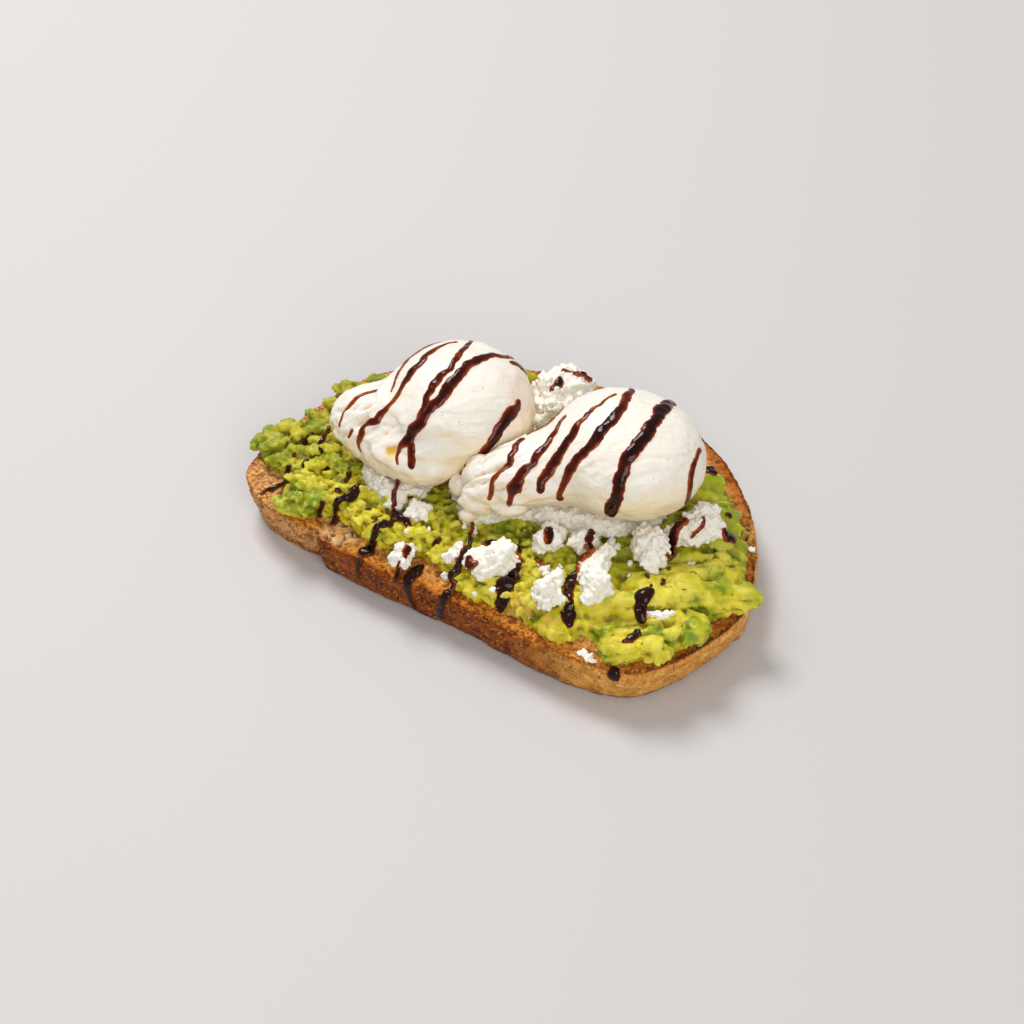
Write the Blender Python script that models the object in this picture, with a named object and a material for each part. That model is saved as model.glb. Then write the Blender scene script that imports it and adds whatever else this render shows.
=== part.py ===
"""Avocado toast: a sourdough slice, mashed avocado, two poached eggs and crumbled feta.

Frame: +X runs along the slice, +Y from its straight side to its domed side, +Z up.
The origin is at the bottom centre of the whole toast's bounding box.
"""
import math

import bmesh
import bpy
import numpy as np
from mathutils import Vector, noise
from mathutils.bvhtree import BVHTree

MM = 0.001

# ---- driving dimensions, in millimetres ----
SLICE_HEIGHT = 15.0          # thickness of the bread
FRONT_LIMIT = -10.0          # the outline counts as the front below this y
EAR_X = -44.0                # where the crust burst open, its ear
EAR_STEP = 1.8               # how much further the foot draws in left of the ear
CORNER_X = 45.0              # where the front right corner starts
CORNER_RUN = 25.0            # how long it takes to turn
CORNER_UNDERCUT = 2.4        # how much further the foot draws in round it
MASH_HEIGHT = 5.4            # usual thickness of the avocado
MASH_RIM = 0.9               # its thickness at the rim
MASH_LEAST = 0.4             # its thickness where something presses it flat
MASH_CENTRE = (0.0, -6.0)
MASH_MARGIN = 7.0            # it keeps low this far around what presses on it
BED_BOTTOM = 19.9            # underside of the feta that the eggs lie on
BED_LEAST = 1.0              # thickness of a bed at its rim
BED_LUMP = 1.4               # how uneven a bed of feta is
BED_LUMP_SIZE = 6.0
BED_MARGIN = 2.5
EGG_BOTTOM = 24.6            # flat spot under each egg
GAP = 0.35                   # clear space between touching pieces
CONTACT_GAP = 0.9            # the same, measured before the eggs are faceted
CRUMB_GAP = 0.45             # clear space under a crumb
SPLINE_STEPS = 4             # points between two points of the slice's outline
ROUGH_STEPS = 3              # the same for the softer pieces

# Slice outline: left end, straight front with the ear's notch, right end, domed back.
SLICE_OUTLINE = [
    (-80.5, -43), (-75, -50), (-66, -54.5), (-54, -55.8), (-46.5, -55.2), (-44, -54.2),
    (-41.5, -56), (-22, -56.8), (8, -55.4), (38, -56.4), (60, -54.6), (71, -48.6), (79, -33),
    (83, -15), (79.5, -1), (70.5, 17), (56, 34), (36, 47.5), (10, 55.5), (-14, 51),
    (-34, 46), (-58, 33), (-73, 16), (-79.5, -6), (-81.8, -30),
]

# How far the side of the slice draws in, and at which height, from its foot to its top.
SLICE_PROFILE = [(2.6, 0.0), (1.5, 2.5), (0.5, 7.0), (0.0, 11.5), (0.5, 14.2),
                 (1.4, SLICE_HEIGHT)]

# Spread outline of the avocado, the pointed tip at the right hangs over the crust.
MASH_OUTLINE = [
    (-80, -36), (-73, -40), (-64, -42), (-61, -50), (-53, -53.5), (-47, -48), (-36, -47.5),
    (-27, -50.5), (-20, -48), (-11, -46.5), (0, -47.5), (8, -52.5), (24, -51), (38, -53),
    (45, -53), (49, -46.5), (62, -49), (70, -42), (76, -33), (75, -25), (84.5, -7), (77, -3),
    (72, 7), (61, 21), (50, 32), (28, 38), (4, 45), (-16, 47), (-40, 34), (-60, 17),
    (-75, 4), (-76, -7), (-73, -15), (-81, -26),
]

# Rings of the avocado, as shares of its outline, and the share where its rim rounds off.
MASH_RINGS = (1.0, 0.97, 0.91, 0.83, 0.74, 0.65, 0.55, 0.44, 0.32, 0.18, 0.05)
MASH_FOOT_SHARE = 0.985
MASH_ROUND_SHARE = 0.86
MASH_ROUND_RUN = 0.15
MASH_LUMPS = [(1.5, 11.0, 0.0), (1.0, 5.5, 5.0)]    # height, size and level in the noise
MASH_SWELL = (66.0, -26.0, 16.0, 1.8)               # x, y, radius, height of the thick right end

# Rounded lobes that blend into one poached egg: centre, half sizes, turn about Z in degrees.
LEFT_EGG_LOBES = [
    ((-24.0, -5.6, 40.4), (23.2, 22.8, 18.2), 35),
    ((-46.5, -21.0, 34.8), (13.5, 12.0, 10.5), 30),
    ((-32.5, -24.0, 33.0), (18.5, 11.5, 9.0), -8),
]
RIGHT_EGG_LOBES = [
    ((30.5, 4.0, 41.0), (25.3, 22.6, 16.9), -5),
    ((10.5, -12.5, 37.0), (18.0, 12.5, 9.5), 40),
    ((-2.5, -24.0, 31.8), (8.5, 8.0, 6.0), 40),
]
LEFT_EGG_HEART = (-29.0, -11.0, 37.0)    # a point from which the whole egg can be seen
RIGHT_EGG_HEART = (20.0, -4.0, 38.0)
EGG_BLEND = 5.0              # width of the soft joint between lobes
EGG_REACH = 70.0             # no part of an egg is further from its heart
EGG_STEP = 0.25              # how finely the way out of the heart is searched

# Rings of a bed of feta: share of its outline, share of its height.
BED_RINGS = ((0.93, 0.0), (1.0, 0.35), (0.93, 0.7), (0.74, 0.95), (0.45, 1.0), (0.15, 1.0))

# Feta under and behind the eggs: top height, then the outline of its foot.
FETA_BEDS = {
    "feta_bed_left": (26.5, [
        (-48, -22), (-45, -29), (-40, -34.5), (-33, -37), (-27, -39.5), (-23, -34), (-22, -24),
        (-24, -8), (-34, -1), (-46, -10)]),
    "feta_bed_right": (25.5, [
        (-18.5, -20), (-12, -26), (-4.5, -32), (0, -27), (7, -21), (20, -18.5), (33, -13),
        (41, -6), (45, 4), (38, 12), (20, 11), (2, 3), (-12, -8)]),
    "feta_bed_back": (31.5, [
        (-19, 27), (-17.5, 35), (-13, 41), (-7, 40.5), (-2, 34), (0, 25), (-3, 15), (-8, 12),
        (-14, 19)]),
}

# Loose pieces of feta: x, y, length, width, height, turn in degrees.
BIG_CRUMB = 12.0             # crumbs longer than this get a finer surface
CRUMB_KNOB = 0.35            # how knobbly a crumb is
CRUMB_KNOB_SIZE = 0.7        # size of its knobs, as a share of the crumb
CRUMB_FOOT = -0.62           # how far down its half height a crumb's foot is pressed flat
DROP_HEIGHT = 50.0           # height that a crumb is let down from
FETA_CRUMBS = [
    (-13.8, -51.9, 10.0, 7.0, 5.2, 103),
    (-17.8, -36.5, 8.0, 7.0, 5.5, 34),
    (2.6, -46.0, 7.5, 6.0, 6.0, 34),
    (13.8, -43.0, 17.0, 9.5, 7.5, 72),
    (22.0, -26.5, 10.5, 8.5, 6.5, 60),
    (31.6, -21.4, 9.5, 7.5, 6.5, 60),
    (34.0, -43.5, 15.0, 6.6, 6.0, -77),
    (42.6, -31.6, 26.0, 8.2, 7.5, -64),
    (50.2, -13.4, 17.5, 10.0, 8.0, -42),
    (57.4, 3.0, 19.0, 11.0, 8.5, 72),
]


def spline(points, steps):
    """Closed smooth curve through hand-set points."""
    pts = np.array(points, dtype=float)
    before, after, beyond = (np.roll(pts, shift, axis=0) for shift in (1, -1, -2))
    curve = []
    for t in np.arange(steps) / steps:
        curve.append(0.5 * (2 * pts + (after - before) * t
                            + (2 * before - 5 * pts + 4 * after - beyond) * t ** 2
                            + (3 * pts - before - 3 * after + beyond) * t ** 3))
    return np.stack(curve, axis=1).reshape(-1, 2)


def outward(curve):
    """Unit normals that point out of an anticlockwise closed curve."""
    along = np.roll(curve, -1, axis=0) - np.roll(curve, 1, axis=0)
    normal = np.stack([along[:, 1], -along[:, 0]], axis=1)
    return normal / np.linalg.norm(normal, axis=1)[:, None]


def wobble(x, y, z, size, seed=0.0):
    """Smooth unevenness between about -1 and 1, with bumps of the given size."""
    return noise.noise(Vector((x / size + seed, y / size - seed, z / size + 2 * seed)))


def finish_object(name, bm, material):
    """Turn a bmesh in millimetres into a named object in metres."""
    bmesh.ops.scale(bm, vec=(MM, MM, MM), verts=bm.verts)
    bmesh.ops.recalc_face_normals(bm, faces=bm.faces)
    mesh = bpy.data.meshes.new(name)
    bm.to_mesh(mesh)
    bm.free()
    mesh.shade_smooth()
    mesh.materials.append(material)
    piece = bpy.data.objects.new(name, mesh)
    bpy.context.collection.objects.link(piece)
    return piece


def surface_of(piece):
    """Search tree of a finished piece, in millimetres."""
    corners = [vert.co / MM for vert in piece.data.vertices]
    return BVHTree.FromPolygons(corners, [tuple(face.vertices) for face in piece.data.polygons])


def height_under(tree, x, y):
    """Lowest height of a piece above the point x, y, or None where it isn't there."""
    hit = tree.ray_cast(Vector((x, y, -10.0)), Vector((0.0, 0.0, 1.0)))[0]
    return None if hit is None else hit.z


def height_over(tree, x, y):
    """Highest height of a piece at the point x, y, or None where it isn't there."""
    hit = tree.ray_cast(Vector((x, y, 100.0)), Vector((0.0, 0.0, -1.0)))[0]
    return None if hit is None else hit.z


def make_material(name, colour, roughness):
    material = bpy.data.materials.new(name)
    material.use_nodes = True
    shader = material.node_tree.nodes["Principled BSDF"]
    shader.inputs["Base Color"].default_value = (*colour, 1.0)
    shader.inputs["Roughness"].default_value = roughness
    shader.inputs["Metallic"].default_value = 0.0
    return material


def stack_rings(bm, rings):
    """Close a stack of equal rings of points into one body."""
    loops = [[bm.verts.new(point) for point in ring] for ring in rings]
    count = len(loops[0])
    for lower, upper in zip(loops, loops[1:]):
        for i in range(count):
            j = (i + 1) % count
            bm.faces.new((lower[i], lower[j], upper[j], upper[i]))
    bm.faces.new(list(reversed(loops[0])))
    bm.faces.new(loops[-1])


def make_slice(material):
    """Bread: the outline at each height, drawn in at the foot and rounded at the top."""
    outline = spline(SLICE_OUTLINE, SPLINE_STEPS)
    normal = outward(outline)
    front = outline[:, 1] < FRONT_LIMIT
    left = EAR_STEP * front * (outline[:, 0] < EAR_X)
    right = CORNER_UNDERCUT * front * np.clip((outline[:, 0] - CORNER_X) / CORNER_RUN, 0.0, 1.0)
    rings = []
    for inset, height in SLICE_PROFILE:
        foot = 1.0 - height / SLICE_HEIGHT
        edge = outline - normal * (inset + foot * (left + right))[:, None]
        rings.append([(x, y, height) for x, y in edge])
    bm = bmesh.new()
    stack_rings(bm, rings)
    return finish_object("toast", bm, material)


def lobe_distance(points, lobe):
    """Rough distance from points to one rounded lobe, negative inside."""
    centre, half, turn = lobe
    angle = math.radians(turn)
    offset = points - np.array(centre)
    local = np.stack([offset[..., 0] * math.cos(angle) + offset[..., 1] * math.sin(angle),
                      offset[..., 1] * math.cos(angle) - offset[..., 0] * math.sin(angle),
                      offset[..., 2]], axis=-1)
    near = np.linalg.norm(local / np.array(half), axis=-1)
    steep = np.linalg.norm(local / np.array(half) ** 2, axis=-1)
    return near * (near - 1.0) / np.maximum(steep, 1e-6)


def egg_distance(points, lobes):
    """Distance to the lobes melted together."""
    total = sum(np.exp(-lobe_distance(points, lobe) / EGG_BLEND * 2.0) for lobe in lobes)
    return -np.log(total) * EGG_BLEND / 2.0


def make_egg(name, lobes, heart, beside, material):
    """Poached egg: a ball pushed out from its heart to the melted lobes or the egg beside it."""
    bm = bmesh.new()
    bmesh.ops.create_icosphere(bm, subdivisions=4, radius=1.0)
    away = np.array([vert.co[:] for vert in bm.verts])
    radii = np.arange(0.0, EGG_REACH, EGG_STEP)
    points = np.array(heart) + away[:, None, :] * radii[None, :, None]
    inside = egg_distance(points, lobes) < 0.0
    if beside:
        inside &= egg_distance(points, beside) > CONTACT_GAP
    reach = radii[np.argmin(inside, axis=1) - 1]
    surface = np.array(heart) + away * reach[:, None]
    surface[:, 2] = np.maximum(surface[:, 2], EGG_BOTTOM)
    for vert, point in zip(bm.verts, surface):
        vert.co = point
    return finish_object(name, bm, material)


def lowest_ceiling(ceilings, x, y, reach):
    """Lowest underside of the given pieces at and around a point, less the gap."""
    directions = [i * math.pi / 4 for i in range(8)]
    spots = [(x, y)] + [(x + stride * math.cos(turn), y + stride * math.sin(turn))
                        for stride in (reach / 2, reach) for turn in directions]
    heights = [height_under(tree, *spot) for tree in ceilings for spot in spots]
    return min((height - GAP for height in heights if height is not None), default=math.inf)


def make_bed(name, top, outline, ceilings, seed, material):
    """Crumbly layer of feta with an uneven rim, kept clear of the eggs above it."""
    foot = spline(outline, ROUGH_STEPS)
    centre = foot.mean(axis=0)
    rings = []
    for share, level in BED_RINGS:
        ring = []
        for x, y in centre + share * (foot - centre):
            z = BED_BOTTOM + level * (top - BED_BOTTOM)
            if level > 0.0:
                z += BED_LUMP * wobble(x, y, z, BED_LUMP_SIZE, seed)
                z = min(z, lowest_ceiling(ceilings, x, y, BED_MARGIN))
                z = max(z, BED_BOTTOM + BED_LEAST + level)
            ring.append((x, y, z))
        rings.append(ring)
    bm = bmesh.new()
    stack_rings(bm, rings)
    return finish_object(name, bm, material)


def make_mash(ceilings, material):
    """Avocado: rings from the spread outline to the middle, lumpy, pressed down by what lies on it."""
    outline = spline(MASH_OUTLINE, ROUGH_STEPS)
    centre = np.array(MASH_CENTRE)
    bottom = SLICE_HEIGHT + GAP
    rings = [[(x, y, bottom) for x, y in centre + MASH_FOOT_SHARE * (outline - centre)]]
    swell_x, swell_y, swell_radius, swell_height = MASH_SWELL
    for share in MASH_RINGS:
        slope = max(0.0, (share - MASH_ROUND_SHARE) / MASH_ROUND_RUN)
        round_off = math.sqrt(1.0 - slope ** 2)
        ring = []
        for x, y in centre + share * (outline - centre):
            lumps = sum(high * wobble(x, y, level, size) for high, size, level in MASH_LUMPS)
            swell = math.exp(-math.hypot(x - swell_x, y - swell_y) ** 2 / swell_radius ** 2)
            thick = MASH_HEIGHT - MASH_RIM + lumps + swell_height * swell
            ceiling = lowest_ceiling(ceilings, x, y, MASH_MARGIN)
            z = min(bottom + MASH_RIM + thick * round_off, ceiling)
            ring.append((x, y, max(z, bottom + MASH_LEAST)))
        rings.append(ring)
    bm = bmesh.new()
    stack_rings(bm, rings)
    return finish_object("avocado", bm, material)


def make_crumb(name, crumb, supports, seed, material):
    """Loose curd of feta: a knobbly lump let down until it all but touches what is below."""
    x, y, length, width, height, turn = crumb
    angle = math.radians(turn)
    bm = bmesh.new()
    bmesh.ops.create_icosphere(bm, subdivisions=3 if length > BIG_CRUMB else 2, radius=1.0)
    for vert in bm.verts:
        knob = 1.0 + CRUMB_KNOB * wobble(*vert.co, CRUMB_KNOB_SIZE, seed)
        u = vert.co.x * knob * length / 2
        v = vert.co.y * knob * width / 2
        w = max(vert.co.z, CRUMB_FOOT) * knob * height / (1.0 - CRUMB_FOOT)
        vert.co = (x + u * math.cos(angle) - v * math.sin(angle),
                   y + u * math.sin(angle) + v * math.cos(angle), w + DROP_HEIGHT)
    drop = lowest_drop(bm, supports)
    for vert in bm.verts:
        vert.co.z -= drop
    return finish_object(name, bm, material)


def lowest_drop(bm, supports):
    """How far a shape comes down before only its gap is left above the supports."""
    corners = [vert.co.copy() for vert in bm.verts]
    own = BVHTree.FromPolygons(corners, [[v.index for v in face.verts] for face in bm.faces])
    drops = []
    for tree, piece in supports:
        for corner in corners:
            under = height_over(tree, corner.x, corner.y)
            if under is not None:
                drops.append(corner.z - under)
        for vert in piece.data.vertices:
            point = vert.co / MM
            over = height_under(own, point.x, point.y)
            if over is not None:
                drops.append(over - point.z)
    return min(drops) - CRUMB_GAP


def centre_on_origin(pieces):
    """Move every piece so that the whole stands on the origin, at its box's bottom centre."""
    corners = np.array([vert.co[:] for piece in pieces for vert in piece.data.vertices])
    middle = (corners.min(axis=0) + corners.max(axis=0)) / 2
    for piece in pieces:
        piece.location = (-middle[0], -middle[1], 0.0)


for old in list(bpy.data.objects):
    bpy.data.objects.remove(old, do_unlink=True)

crust = make_material("toasted_bread", (0.50, 0.24, 0.08), 0.75)
avocado_green = make_material("avocado_mash", (0.46, 0.52, 0.07), 0.40)
egg_white = make_material("poached_egg_white", (0.90, 0.87, 0.80), 0.30)
curd = make_material("feta_curd", (0.90, 0.89, 0.85), 0.80)

toast = make_slice(crust)
egg_left = make_egg("egg_left", LEFT_EGG_LOBES, LEFT_EGG_HEART, None, egg_white)
egg_right = make_egg("egg_right", RIGHT_EGG_LOBES, RIGHT_EGG_HEART, LEFT_EGG_LOBES, egg_white)
egg_trees = [surface_of(egg_left), surface_of(egg_right)]

beds = []
for number, (name, (top, foot)) in enumerate(FETA_BEDS.items()):
    beds.append(make_bed(name, top, foot, egg_trees, 3.7 * number + 1.3, curd))

mash = make_mash(egg_trees + [surface_of(bed) for bed in beds], avocado_green)

supports = [(surface_of(piece), piece) for piece in [toast, mash] + beds]
crumbs = []
for number, crumb in enumerate(FETA_CRUMBS, start=1):
    piece = make_crumb("feta_crumb_%02d" % number, crumb, supports, 1.9 * number, curd)
    crumbs.append(piece)
    supports.append((surface_of(piece), piece))

centre_on_origin([toast, egg_left, egg_right, mash] + beds + crumbs)
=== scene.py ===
import math

import bmesh
import bpy
import numpy as np
from mathutils import Matrix, Vector


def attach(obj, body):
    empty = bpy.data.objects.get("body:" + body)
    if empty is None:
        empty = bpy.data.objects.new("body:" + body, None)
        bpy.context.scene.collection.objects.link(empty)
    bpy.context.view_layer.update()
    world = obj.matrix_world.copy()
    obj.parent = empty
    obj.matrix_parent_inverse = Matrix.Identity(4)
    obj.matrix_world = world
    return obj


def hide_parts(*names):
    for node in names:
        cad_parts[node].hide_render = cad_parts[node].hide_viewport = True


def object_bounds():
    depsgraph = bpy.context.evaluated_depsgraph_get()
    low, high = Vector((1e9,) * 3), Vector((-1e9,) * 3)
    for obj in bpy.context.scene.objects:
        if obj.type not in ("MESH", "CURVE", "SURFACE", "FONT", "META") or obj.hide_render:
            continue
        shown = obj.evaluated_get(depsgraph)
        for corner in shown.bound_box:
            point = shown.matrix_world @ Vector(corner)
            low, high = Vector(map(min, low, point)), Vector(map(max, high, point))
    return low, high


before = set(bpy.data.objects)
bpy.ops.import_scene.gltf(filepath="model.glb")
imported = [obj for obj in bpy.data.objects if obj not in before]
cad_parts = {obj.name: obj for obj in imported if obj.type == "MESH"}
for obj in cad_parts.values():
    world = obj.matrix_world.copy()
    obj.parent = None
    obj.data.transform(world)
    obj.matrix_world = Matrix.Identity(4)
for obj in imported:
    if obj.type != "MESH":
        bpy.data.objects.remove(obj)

cad_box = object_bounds()

# ---- Camera ----
# A long lens looks down on the front right of the toast from almost a metre away.
MM = 0.001
VIEW_TURN = math.radians(34.0)
VIEW_HEIGHT = math.radians(43.56)
VIEW_DISTANCE = 880.9 * MM
VIEW_OFFSET = Vector((-2.57, -10.55, -17.25)) * MM

middle = (Vector(cad_box[0]) + Vector(cad_box[1])) / 2
view_target = middle + VIEW_OFFSET
towards_camera = Vector((math.sin(VIEW_TURN) * math.cos(VIEW_HEIGHT),
                         -math.cos(VIEW_TURN) * math.cos(VIEW_HEIGHT),
                         math.sin(VIEW_HEIGHT)))
camera = bpy.data.objects.new("camera", bpy.data.cameras.new("camera"))
camera.data.lens = 100.0
camera.data.sensor_width = 36.0
camera.data.clip_start = 0.01
camera.location = view_target + towards_camera * VIEW_DISTANCE
camera.rotation_euler = towards_camera.to_track_quat("Z", "Y").to_euler()
bpy.context.scene.collection.objects.link(camera)
bpy.context.scene.camera = camera


# ---- Table and light ----
# A pale grey table in a bright studio: a wide lamp high at the back left, a weaker one in front,
# and white walls that fill the shadows. The colours are kept as the materials give them.
class Wire:
    """An output in a node tree. Sums and products of wires add the nodes that work them out."""

    def __init__(self, tree, socket=None):
        self.tree = tree
        self.socket = socket

    def node(self, kind, settings=None, sockets=None, output=0):
        """Add any node: its settings, then values or wires for its sockets, by identifier."""
        made = self.tree.nodes.new(kind)
        for name, value in (settings or {}).items():
            setattr(made, name, value)
        entries = {entry.identifier: entry for entry in made.inputs}
        for name, value in (sockets or {}).items():
            if isinstance(value, list):
                for wire in value:
                    self.tree.links.new(wire.socket, entries[name])
            elif isinstance(value, Wire):
                self.tree.links.new(value.socket, entries[name])
            else:
                entries[name].default_value = value
        exits = {way.identifier: way for way in made.outputs}
        return Wire(self.tree, exits.get(output) or next(iter(exits.values()), None))

    def sum_up(self, operation, first, second):
        """A Math node, a Vector Math node for two vectors, or a vector scaled by a number."""
        kinds = [isinstance(side, tuple)
                 or isinstance(side, Wire) and side.socket.type in ("VECTOR", "RGBA")
                 for side in (first, second)]
        if all(kinds):
            return self.node("ShaderNodeVectorMath", {"operation": operation},
                             {"Vector": first, "Vector_001": second})
        if any(kinds):
            vector, number = (first, second) if kinds[0] else (second, first)
            return self.node("ShaderNodeVectorMath", {"operation": "SCALE"},
                             {"Vector": vector, "Scale": number})
        return self.node("ShaderNodeMath", {"operation": operation},
                         {"Value": first, "Value_001": second})

    def __add__(self, other):
        return self.sum_up("ADD", self, other)

    def __radd__(self, other):
        return self.sum_up("ADD", other, self)

    def __sub__(self, other):
        return self.sum_up("SUBTRACT", self, other)

    def __rsub__(self, other):
        return self.sum_up("SUBTRACT", other, self)

    def __mul__(self, other):
        return self.sum_up("MULTIPLY", self, other)

    def __rmul__(self, other):
        return self.sum_up("MULTIPLY", other, self)

    def __truediv__(self, other):
        return self.sum_up("DIVIDE", self, other)

    def __abs__(self):
        return self.node("ShaderNodeMath", {"operation": "ABSOLUTE"}, {"Value": self})

    def __pow__(self, power):
        return self.sum_up("POWER", self, power)

    def apply(self, operation, other=0.0):
        """Any other Math node, such as SINE, or MINIMUM of this and another number."""
        return self.sum_up(operation, self, other)

    def part(self, axis):
        """One of a vector's X, Y and Z."""
        return self.node("ShaderNodeSeparateXYZ", {}, {"Vector": self}, axis)

    def turned(self, axis, angle):
        """This vector turned about the X, Y or Z axis."""
        return self.node("ShaderNodeVectorRotate", {"rotation_type": axis + "_AXIS"},
                         {"Vector": self, "Angle": angle})

    def vector(self, x, y, z):
        return self.node("ShaderNodeCombineXYZ", {}, {"X": x, "Y": y, "Z": z})

    def smooth(self, low, high):
        """Soft step from 0 at low to 1 at high."""
        return self.node("ShaderNodeMapRange", {"interpolation_type": "SMOOTHSTEP"},
                         {"Value": self, "From Min": low, "From Max": high})

    def mix(self, first, second):
        """Blend of two colours, with this wire as the share of the second."""
        return self.node("ShaderNodeMix", {"data_type": "RGBA"},
                         {"Factor_Float": self, "A_Color": first, "B_Color": second}, "Result_Color")

    def noise(self, size, detail=2.0, output="Fac", **sockets):
        """Cloudy noise from 0 to 1 over this vector, its bumps of the given size."""
        return self.node("ShaderNodeTexNoise", {},
                         {"Vector": self, "Scale": 1.0 / size, "Detail": detail, **sockets}, output)

    def cells(self, size, output="Distance", feature="F1"):
        """Voronoi cells of the given size over this vector."""
        return self.node("ShaderNodeTexVoronoi", {"feature": feature},
                         {"Vector": self, "Scale": 1.0 / size}, output)


def colour(red, green, blue):
    """A colour as a screen shows it, from 0 to 255, in the linear values that shaders use."""
    return tuple((part / 255.0 / 12.92) if part < 10 else ((part / 255.0 + 0.055) / 1.055) ** 2.4
                 for part in (red, green, blue)) + (1.0,)


def new_material(name):
    """An empty material and a wire that adds nodes to it."""
    material = bpy.data.materials.new(name)
    material.use_nodes = True
    material.node_tree.nodes.clear()
    return material, Wire(material.node_tree)


def place_in_mm(start):
    """Where a point of the piece lies, in millimetres, for patterns."""
    return start.node("ShaderNodeTexCoord", output="Object") * (1.0 / MM)


def surface(start, base, rough, relief=None, depth=0.1, **fixed):
    """End a material: its colour, its roughness, a relief in millimetres and fixed settings."""
    sockets = {"Base Color": base, "Roughness": rough}
    if relief is not None:
        height = relief * (depth * MM)
        sockets["Normal"] = start.node("ShaderNodeBump", {}, {"Height": height, "Distance": 1.0})
    sockets.update({name.replace("_", " "): value for name, value in fixed.items()})
    shader = start.node("ShaderNodeBsdfPrincipled", {}, sockets)
    start.node("ShaderNodeOutputMaterial", {}, {"Surface": shader})


def new_object(name, data):
    made = bpy.data.objects.new(name, data)
    bpy.context.scene.collection.objects.link(made)
    return made


bpy.context.scene.view_settings.view_transform = "Standard"

TABLE_HALF = 3.0
table_mesh = bpy.data.meshes.new("table")
corners = [(x * TABLE_HALF, y * TABLE_HALF, 0.0) for x, y in ((-1, -1), (1, -1), (1, 1), (-1, 1))]
table_mesh.from_pydata(corners, [], [(0, 1, 2, 3)])
table = new_object("table", table_mesh)
table_paint, start = new_material("pale_table")
surface(start, colour(209, 206, 205), 0.6)
table_mesh.materials.append(table_paint)

world = bpy.data.worlds.new("studio")
world.use_nodes = True
walls = world.node_tree.nodes["Background"].inputs
walls["Color"].default_value = (1.0, 0.99, 0.975, 1.0)
walls["Strength"].default_value = 0.37
bpy.context.scene.world = world


def lamp(name, place, size, power):
    """A square soft lamp that points at the toast."""
    light = bpy.data.lights.new(name, "AREA")
    light.size = size
    light.energy = power
    holder = new_object(name, light)
    holder.location = place
    holder.rotation_euler = Vector(place).to_track_quat("Z", "Y").to_euler()


lamp("lamp_back_left", place=(-0.75, 0.35, 1.15), size=0.55, power=13.5)
lamp("lamp_front", place=(0.85, -0.75, 0.9), size=0.8, power=8.0)


# ---- Bread ----
# One thick slice of sourdough, toasted: a smooth baked crust all round, a golden rim that has
# charred at its edge, open crumb where the knife and the ear tore it, and a paler left end.
def copy_of(node, name):
    """A new piece with the CAD node's shape, its loose triangles joined at their corners."""
    bm = bmesh.new()
    bm.from_mesh(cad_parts[node].data)
    bmesh.ops.remove_doubles(bm, verts=bm.verts, dist=0.001 * MM)
    mesh = bpy.data.meshes.new(name)
    bm.to_mesh(mesh)
    bm.free()
    return new_object(name, mesh)


def settle(piece):
    """Turn what a piece's modifiers make into its own plain mesh."""
    graph = bpy.context.evaluated_depsgraph_get()
    made = bpy.data.meshes.new_from_object(piece.evaluated_get(graph), depsgraph=graph,
                                           preserve_all_data_layers=True)
    piece.modifiers.clear()
    piece.data = made
    piece.data.name = piece.name
    piece.data.shade_smooth()


def reskin(piece, voxel, smoothing=0):
    """Cover a piece with an even skin of faces about a voxel wide, in millimetres, which melts
    whatever overlaps into one."""
    skin = piece.modifiers.new("skin", "REMESH")
    skin.mode = "VOXEL"
    skin.voxel_size = voxel * MM
    if smoothing:
        relax = piece.modifiers.new("relax", "SMOOTH")
        relax.iterations = smoothing
    settle(piece)


class Recipe:
    """A Geometry Nodes tree with named number inputs, run on pieces one after another."""

    def __init__(self, name, **inputs):
        self.tree = bpy.data.node_groups.new(name, "GeometryNodeTree")
        ports = self.tree.interface
        ports.new_socket("Geometry", in_out="INPUT", socket_type="NodeSocketGeometry")
        for label, value in inputs.items():
            whole = isinstance(value, int)
            kind = "NodeSocketInt" if whole else "NodeSocketFloat"
            ports.new_socket(label, in_out="INPUT", socket_type=kind).default_value = value
        made = ports.new_socket("Geometry", in_out="OUTPUT", socket_type="NodeSocketGeometry")
        self.made = made.identifier
        entry = self.tree.nodes.new("NodeGroupInput")
        self.wires = {way.name: Wire(self.tree, way) for way in entry.outputs if way.name}
        self.start = self.wires["Geometry"]
        self.place = self.start.node("GeometryNodeInputPosition") * (1.0 / MM)
        self.normal = self.start.node("GeometryNodeInputNormal")

    def finish(self, geometry, material):
        """Close the tree: no instances left, one material on everything."""
        real = geometry.node("GeometryNodeRealizeInstances", {}, {"Geometry": geometry})
        real = real.node("GeometryNodeSetMaterial", {}, {"Geometry": real, "Material": material})
        real.node("NodeGroupOutput", {}, {self.made: real})

    def run(self, piece, **values):
        """Put a piece through the tree, with its own values for some inputs."""
        modifier = piece.modifiers.new(self.tree.name, "NODES")
        modifier.node_group = self.tree
        for port in self.tree.interface.items_tree:
            if port.name in values:
                modifier[port.identifier] = values[port.name]
        settle(piece)


def moved(geometry, **way):
    """Points moved to a Position or by an Offset."""
    return geometry.node("GeometryNodeSetPosition", {}, {"Geometry": geometry, **way})


def raise_by(geometry, height):
    """Move a surface out along its normal by a height in millimetres."""
    return moved(geometry, Offset=geometry.node("GeometryNodeInputNormal") * (height * MM))


def remember(geometry, name, value, kind="FLOAT"):
    """Keep a number or a vector at every point, for the material or a later step."""
    return geometry.node("GeometryNodeStoreNamedAttribute", {"data_type": kind, "domain": "POINT"},
                         {"Geometry": geometry, "Name": name, "Value": value})


def nearest(target, spot, output):
    """The Distance to a geometry's nearest face, or the Position there."""
    return target.node("GeometryNodeProximity", {"target_element": "FACES"},
                       {"Target": target, "Source Position": spot}, output)


def recall(start, name):
    """A kept number, read back in a material."""
    return start.node("ShaderNodeAttribute", {"attribute_name": name}, output="Fac")


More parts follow.
